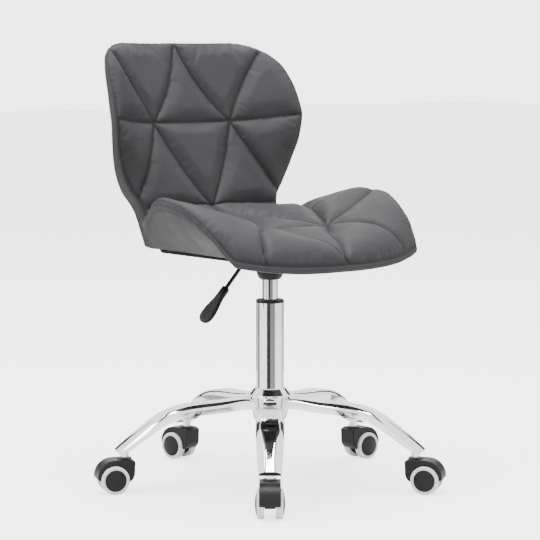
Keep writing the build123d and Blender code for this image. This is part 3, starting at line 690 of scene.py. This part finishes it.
def seat_height(u, v):
    """Height of the seat before it is stuffed: a rounded front edge, and wings that rise behind it."""
    _, _, sz, _, cz = seat_rows(v)
    reach = np.minimum(np.abs(u), 1.0)
    wing = np.clip((reach - 0.22) / 0.78, 0, 1) ** 1.2
    mix = np.clip(v / 0.22, 0, 1)
    return cz + (sz - cz) * (reach**3 * (1 - mix) + wing * mix)


SEAT_SEAMS = [bowed((-SEAT_HUB[0], SEAT_HUB[1]), SEAT_HUB, 0)]
for s in (-1, 1):
    hub = (s * SEAT_HUB[0], SEAT_HUB[1])
    SEAT_SEAMS += [
        bowed(hub, (s * 2, -208), s * -7),
        bowed(hub, (s * 2, 166), s * 4),
        bowed(hub, (s * 157, -186), s * 9),
        bowed(hub, (s * 237, -10), s * 4),
        bowed(hub, (s * 172, 139), s * -4),
    ]


def make_seat():
    v = np.linspace(0, 1, 200)
    sx, sy, _, cy, _ = seat_rows(v)
    right = np.stack([sx, sy], axis=-1)
    left = np.stack([-sx, sy], axis=-1)[::-1]
    across = np.linspace(1, -1, 120)[1:-1]
    rear_y = cy[-1] + (sy[-1] - cy[-1]) * np.abs(across) ** ROW_BOW
    rear = np.stack([across * sx[-1], rear_y], axis=-1)
    across = np.linspace(-1, 1, 160)[1:]
    front_y = cy[0] + (sy[0] - cy[0]) * np.abs(across) ** ROW_BOW
    front = np.stack([across * sx[0], front_y], axis=-1)
    outline = evenly(np.vstack([right, rear, left, front]), EDGE_SPACING)[:-1]
    flat, faces = patch(outline, SEAT_SEAMS, SPACING)
    count = len(outline)
    u, along = seat_place(flat)
    base = np.column_stack([flat, seat_height(u, along)])
    normals = triangle_normals(base, faces)
    if normals[:, 2].mean() < 0:
        faces = [face[::-1] for face in faces]
        normals = -normals
    under_back = np.clip((178 - flat[:, 1]) / 14, 0, 1)
    rise, painted_shade, held = quilted(flat, outline, SEAT_SEAMS, 5.0, 20, 11, under_back)
    start = base + normals * rise[:, None]
    top = stuffed("seat_cloth", start, faces, held, pressure=3.0, growth=0.009, cap=5.0)
    # below the edge: a welt, then a side panel that turns in to the dust cover
    ring = base[:count]
    wing = np.clip(along[:count] / 0.2, 0, 1)
    wing = wing**2 * (3 - 2 * wing)
    out = np.cross(np.roll(ring, -1, axis=0) - np.roll(ring, 1, axis=0), (0, 0, 1))
    out[:, 2] = 0
    out /= np.linalg.norm(out, axis=1)[:, None]
    up = np.array([0, 0, 1.0])
    seam_low = ring - up * (11 + 5 * wing)[:, None] - out * (1 + wing)[:, None]
    front_foot = seam_low - out * 10 - up * 2
    tail = np.clip((ring[:, 1] - 138) / 34, 0, 1)
    foot_half = 162 + 6 * np.clip((40 - ring[:, 1]) / 120, 0, 1)
    foot_x = np.sign(ring[:, 0]) * np.minimum(foot_half, np.abs(ring[:, 0]) - 1)
    side_foot = np.stack([foot_x, ring[:, 1] * 0.95 + 3, PANEL_FOOT_Z + 10 * tail**2], axis=-1)
    foot = front_foot * (1 - wing)[:, None] + side_foot * wing[:, None]
    inner = foot * np.array([0.94, 0.94, 1])
    inner[:, 2] = LIP_Z + 3 * wing + 12 * tail**2
    gather = np.exp(-(((along[:count] - 0.16) / 0.10) ** 2))
    shell = Shell()
    shell.add(top, 0, painted_shade)
    shell.faces += faces
    upper = list(range(count))

    def next_row(points, soft=0.0, painted_shade=0.0):
        nonlocal upper
        lower = shell.add(points, soft, painted_shade)
        shell.join(upper, lower)
        upper = lower

    folds = np.array([noise.noise(Vector((k * 0.55, 0.3, 0.7))) for k in range(count)])
    for k in range(1, 6):
        f = k / 5
        swell = 2.4 * math.sin(math.pi * f) ** 0.7
        crumple = 3.2 * gather * folds * math.sin(math.pi * min(1.0, f * 1.1))
        row = top[:count] * (1 - f) + seam_low * f + out * (swell + crumple)[:, None]
        # painted shade on the last row, along the welt seam
        next_row(row, 0.4, 0.8 if k == 5 else 0.0)
    drop = foot - seam_low
    length = np.linalg.norm(drop, axis=1)
    panel_out = np.cross(np.roll(seam_low, -1, axis=0) - np.roll(seam_low, 1, axis=0), drop)
    panel_out /= np.maximum(np.linalg.norm(panel_out, axis=1), 1e-9)[:, None]
    panel_out *= np.where((panel_out * (out - up * 0.4)).sum(axis=1) < 0, -1, 1)[:, None]
    for _ in range(12):
        beside = np.roll(panel_out, 1, axis=0) + 2 * panel_out + np.roll(panel_out, -1, axis=0)
        panel_out = beside / 4
    for k in range(1, 11):
        f = k / 10
        belly = np.minimum(4.0, 0.06 * length) * math.sin(math.pi * f) ** 0.8
        next_row(seam_low + drop * f + panel_out * belly[:, None])
    for f in (0.35, 0.75, 1.0):
        next_row(foot * (1 - f) + inner * f - up * (1.5 * math.sin(math.pi * f)))
    under_flat, under_faces = patch(inner[:, :2], [], UNDER_SPACING)
    lift = np.full(len(under_flat), LIP_Z + 1.0)
    lift[:count] = inner[:, 2]
    under = np.column_stack([under_flat, lift])
    ids = upper + shell.add(under[count:], 0)
    shell.close(ids, under_faces, triangle_normals(under, under_faces)[:, 2].mean() < 0)
    cover = shell.object("seat_cover", 0.7)
    stitch_line = seam_low + up * 2.4 + out * (0.4 + 0.6 * wing)[:, None]
    stitches("seat_edge_stitching", stitch_line, out)
    return cover


HEM_Z = 417.0
HEM_CORNER = 24
HEM_SIDES = 10


def make_hem():
    """Rolled black hem of the dust cloth, under the seat."""
    low, high = (np.array(corner) * 1000 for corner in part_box("seat_dust_cover"))
    reach, front, rear = high[0] + 4.0, low[1] - 2, high[1] - 12
    side_x, front_y, rear_y = reach - HEM_CORNER, front + HEM_CORNER, rear - HEM_CORNER
    corners = (
        (side_x, rear_y, 0), (-side_x, rear_y, 90), (-side_x, front_y, 180), (side_x, front_y, 270),
    )
    line = []
    for cx, cy, begin in corners:
        for turn in range(10):
            a = math.radians(begin + turn * 10)
            line.append((cx + HEM_CORNER * math.cos(a), cy + HEM_CORNER * math.sin(a)))
    line = evenly(np.array(line + line[:1]), 6.0)[:-1]
    ahead = np.roll(line, -1, axis=0) - np.roll(line, 1, axis=0)
    side = np.stack([ahead[:, 1], -ahead[:, 0]], axis=-1) / np.linalg.norm(ahead, axis=1)[:, None]
    points, faces, count = [], [], len(line)
    for k in range(count):
        thick = 3.0 + 0.35 * noise.noise(Vector((k * 0.7, 0, 0)))
        here, ahead_ring = k * HEM_SIDES, (k + 1) % count * HEM_SIDES
        for turn in range(HEM_SIDES):
            a = turn * math.pi / 5
            out = side[k] * thick * 0.8 * math.cos(a)
            points.append((line[k, 0] + out[0], line[k, 1] + out[1], HEM_Z + thick * math.sin(a)))
            b = (turn + 1) % HEM_SIDES
            faces.append((here + turn, ahead_ring + turn, ahead_ring + b, here + b))
    hem = make_mesh("dust_cloth_hem", np.array(points) * MM, faces, FINISHES["dust_cloth"])
    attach(hem, "seat")


LEVER_ANGLE = math.radians(43.2)  # from straight down
LEVER_OUT = Vector((-math.sin(LEVER_ANGLE), 0, -math.cos(LEVER_ANGLE)))
LEVER_BEND = Vector((-52.5, 0, 405.8))
LEVER_LENGTH = 143.8
GRIP_LENGTH = 78
GRIP_TURN = math.radians(-30)  # about the lever
GRIP_SIDES = 28
GRIP_SQUARENESS = 0.62  # 1 is an ellipse, less is squarer
GRIP_STATIONS = (
    # along the lever, half width, half thickness
    (0, 5.2, 4.6), (1.2, 7.0, 6.0), (16, 7.2, 6.0), (20, 7.0, 5.4), (30, 8.4, 4.6),
    (42, 11.2, 4.3), (54, 12.8, 4.2), (64, 12.9, 4.2), (71, 11.0, 3.8), (75.5, 7.6, 3.2),
    (77.6, 3.2, 1.8),
)


def make_grip():
    """Moulded paddle of the lever: a square sleeve that opens into a broad blade."""
    start = LEVER_BEND + LEVER_OUT * (LEVER_LENGTH - GRIP_LENGTH)
    across = Vector((0, -1, 0))
    across.rotate(Quaternion(LEVER_OUT, GRIP_TURN))
    through = LEVER_OUT.cross(across)
    points, faces = [], []
    for along, half, thick in GRIP_STATIONS:
        for turn in range(GRIP_SIDES):
            a = 2 * math.pi * turn / GRIP_SIDES
            x = math.copysign(abs(math.cos(a)) ** GRIP_SQUARENESS, math.cos(a)) * half
            y = math.copysign(abs(math.sin(a)) ** GRIP_SQUARENESS, math.sin(a)) * thick
            # both faces of the blade are slightly hollow
            hollow = 0.9 * math.exp(-((x / half) ** 2) * 3) * (1 if 40 < along < 73 else 0)
            y -= math.copysign(hollow, y) if abs(y) > 1 else 0
            points.append(start + LEVER_OUT * along + across * x + through * y)
    last = (len(GRIP_STATIONS) - 1) * GRIP_SIDES
    for ring in range(0, last, GRIP_SIDES):
        for turn in range(GRIP_SIDES):
            a, b = ring + turn, ring + (turn + 1) % GRIP_SIDES
            faces.append((a, b, b + GRIP_SIDES, a + GRIP_SIDES))
    faces.append(tuple(reversed(range(GRIP_SIDES))))
    faces.append(tuple(range(last, last + GRIP_SIDES)))
    grip = make_mesh("grip_paddle", [p * MM for p in points], faces, FINISHES["black_plastic"])
    finer = grip.modifiers.new("finer", "SUBSURF")
    finer.levels = finer.render_levels = 1
    graph = bpy.context.evaluated_depsgraph_get()
    grip.data = bpy.data.meshes.new_from_object(grip.evaluated_get(graph), depsgraph=graph)
    grip.modifiers.clear()
    grip.data.shade_smooth()
    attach(grip, "lever")
    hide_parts("lever_grip")


back_cover = make_back()
seat_cover = make_seat()
make_hem()
make_grip()

covered = ((back_cover, ("back_cushion", "back_board")), (seat_cover, ("seat_cushion",)))
for cover, inside_it in covered:
    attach(cover, "seat")
    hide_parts(*inside_it)

# ---------------------------------------------------------------- stage, light, camera


def matte(name, level):
    """Material without gloss, and its shader."""
    material = bpy.data.materials.new(name)
    material.use_nodes = True
    shader = material.node_tree.nodes["Principled BSDF"]
    shader.inputs["Base Color"].default_value = (level, level, level, 1)
    shader.inputs["Roughness"].default_value = 0.9
    return material, shader


def stage_plane(name, size, place, turn, level):
    bpy.ops.mesh.primitive_plane_add(size=1, location=place, rotation=turn)
    plane = bpy.context.object
    plane.name = name
    plane.scale = (*size, 1)
    plane.data.materials.append(matte(name, level)[0])
    return plane


def only_reflected(obj):
    """The chrome shows it; the camera, the shadows and the soft light don't."""
    obj.visible_camera = False
    obj.visible_shadow = False
    obj.visible_diffuse = False


VIEW_TURN = 39.0  # the camera stands this far clockwise from the chair's front, seen from above
CAMERA_RISE = 0.10577
CAMERA_DISTANCE = 3.6435
AIM_Z = 0.382
FOCAL_PIXELS = 2058.0
PICTURE_WIDTH = 540

FLOOR_GLOW, FLOOR_GLOW_SEEN = 0.2, 2.5
STUDIO_LIGHT, STUDIO_REFLECTED, STUDIO_SEEN = 1.0, 2.2, 4.1

floor = stage_plane("floor", (40, 40), (0, 0, 0), (0, 0, 0), 0.9)
floor_tree = floor.data.materials[0].node_tree
floor_shader = floor_tree.nodes["Principled BSDF"]
floor_shader.inputs["Emission Color"].default_value = (1, 1, 1, 1)
floor_shader.inputs["Specular IOR Level"].default_value = 0.1
seen = floor_tree.nodes.new("ShaderNodeLightPath")
glow = floor_tree.nodes.new("ShaderNodeMapRange")
glow.inputs["To Min"].default_value = FLOOR_GLOW
glow.inputs["To Max"].default_value = FLOOR_GLOW_SEEN
floor_tree.links.new(seen.outputs["Is Camera Ray"], glow.inputs["Value"])
floor_tree.links.new(glow.outputs["Result"], floor_shader.inputs["Emission Strength"])

# white studio: brightest where the camera looks at it, softer as a light source
world = bpy.data.worlds.new("studio")
world.use_nodes = True
tree = world.node_tree
background = tree.nodes["Background"]
background.inputs["Color"].default_value = (1, 1, 1, 1)
ray = tree.nodes.new("ShaderNodeLightPath")
for_camera = tree.nodes.new("ShaderNodeMix")
for_camera.inputs[3].default_value = STUDIO_SEEN
for_gloss = tree.nodes.new("ShaderNodeMix")
for_gloss.inputs[2].default_value = STUDIO_LIGHT
for_gloss.inputs[3].default_value = STUDIO_REFLECTED
tree.links.new(ray.outputs["Is Glossy Ray"], for_gloss.inputs[0])
tree.links.new(for_gloss.outputs[0], for_camera.inputs[2])
tree.links.new(ray.outputs["Is Camera Ray"], for_camera.inputs[0])
tree.links.new(for_camera.outputs[0], background.inputs["Strength"])
bpy.context.scene.world = world


def around(angle_degrees, distance, height):
    """A place round the chair, by angle from the camera's direction, anticlockwise from above."""
    a = math.radians(-90 - VIEW_TURN + angle_degrees)
    return Vector((distance * math.cos(a), distance * math.sin(a), height))


def softbox(name, place, aim, size, power):
    light = bpy.data.lights.new(name, "AREA")
    light.shape = "RECTANGLE"
    light.size, light.size_y = size
    light.energy = power
    obj = bpy.data.objects.new(name, light)
    obj.location = place
    obj.rotation_euler = (Vector(aim) - Vector(place)).to_track_quat("-Z", "Y").to_euler()
    bpy.context.scene.collection.objects.link(obj)


softbox("key", around(-55, 2.8, 3.0), (0, 0, 0.3), (1.6, 1.6), 70)
softbox("top", (0, 0.1, 3.6), (0, 0, 0.0), (2.4, 2.4), 225)


def card(name, angle, distance, width, height, level=0.01):
    """Dark panel outside the view that the chrome reflects."""
    place = around(angle, distance, height / 2 + 0.02)
    turn = (math.pi / 2, 0, math.radians(-90 - VIEW_TURN + angle) + math.pi / 2)
    only_reflected(stage_plane(name, (width, height), place, turn, level))


WEDGE_Z = 0.002


def floor_card(name, begin, end, near, far, level):
    """Dark wedge on the floor outside the view: an upright chrome tube reflects the floor."""
    rim = [around(begin + (end - begin) * k / 8, far, WEDGE_Z) for k in range(9)]
    root = [around(end - (end - begin) * k / 8, near, WEDGE_Z) for k in range(9)]
    wedge = bpy.data.meshes.new(name)
    wedge.from_pydata([tuple(p) for p in rim + root], [], [tuple(range(18))])
    obj = bpy.data.objects.new(name, wedge)
    bpy.context.scene.collection.objects.link(obj)
    material, shader = matte(name, level)
    shader.inputs["Specular IOR Level"].default_value = 0.1
    wedge.materials.append(material)
    only_reflected(obj)


floor_card("wedge_front", -26, 3, 0.75, 8, 0.005)
floor_card("wedge_front_right", 3, 42, 0.75, 8, 0.16)
floor_card("wedge_left", -122, -92, 0.9, 8, 0.18)
floor_card("wedge_right", 112, 128, 0.9, 8, 0.2)
floor_card("wedge_rear_left", -150, -128, 1.3, 8, 0.01)
floor_card("wedge_rear_right", 136, 150, 1.3, 8, 0.01)
card("card_left", -140, 2.6, 0.9, 2.2)
card("card_right", 140, 2.6, 0.9, 2.2)
for name, angle in (("bar_left", -90), ("bar_right", 90)):
    turn = (0, 0, math.radians(-VIEW_TURN))
    only_reflected(stage_plane(name, (0.3, 3.2), around(angle, 0.95, 2.5), turn, 0.01))

camera = bpy.data.cameras.new("camera")
camera.sensor_width = 36.0
camera.lens = FOCAL_PIXELS * camera.sensor_width / PICTURE_WIDTH
camera_obj = bpy.data.objects.new("camera", camera)
level_distance = CAMERA_DISTANCE * math.cos(CAMERA_RISE)
camera_obj.location = around(0, level_distance, AIM_Z + CAMERA_DISTANCE * math.sin(CAMERA_RISE))
aim = Vector((0, 0, AIM_Z)) - camera_obj.location
camera_obj.rotation_euler = aim.to_track_quat("-Z", "Y").to_euler()
bpy.context.scene.collection.objects.link(camera_obj)
bpy.context.scene.camera = camera_obj
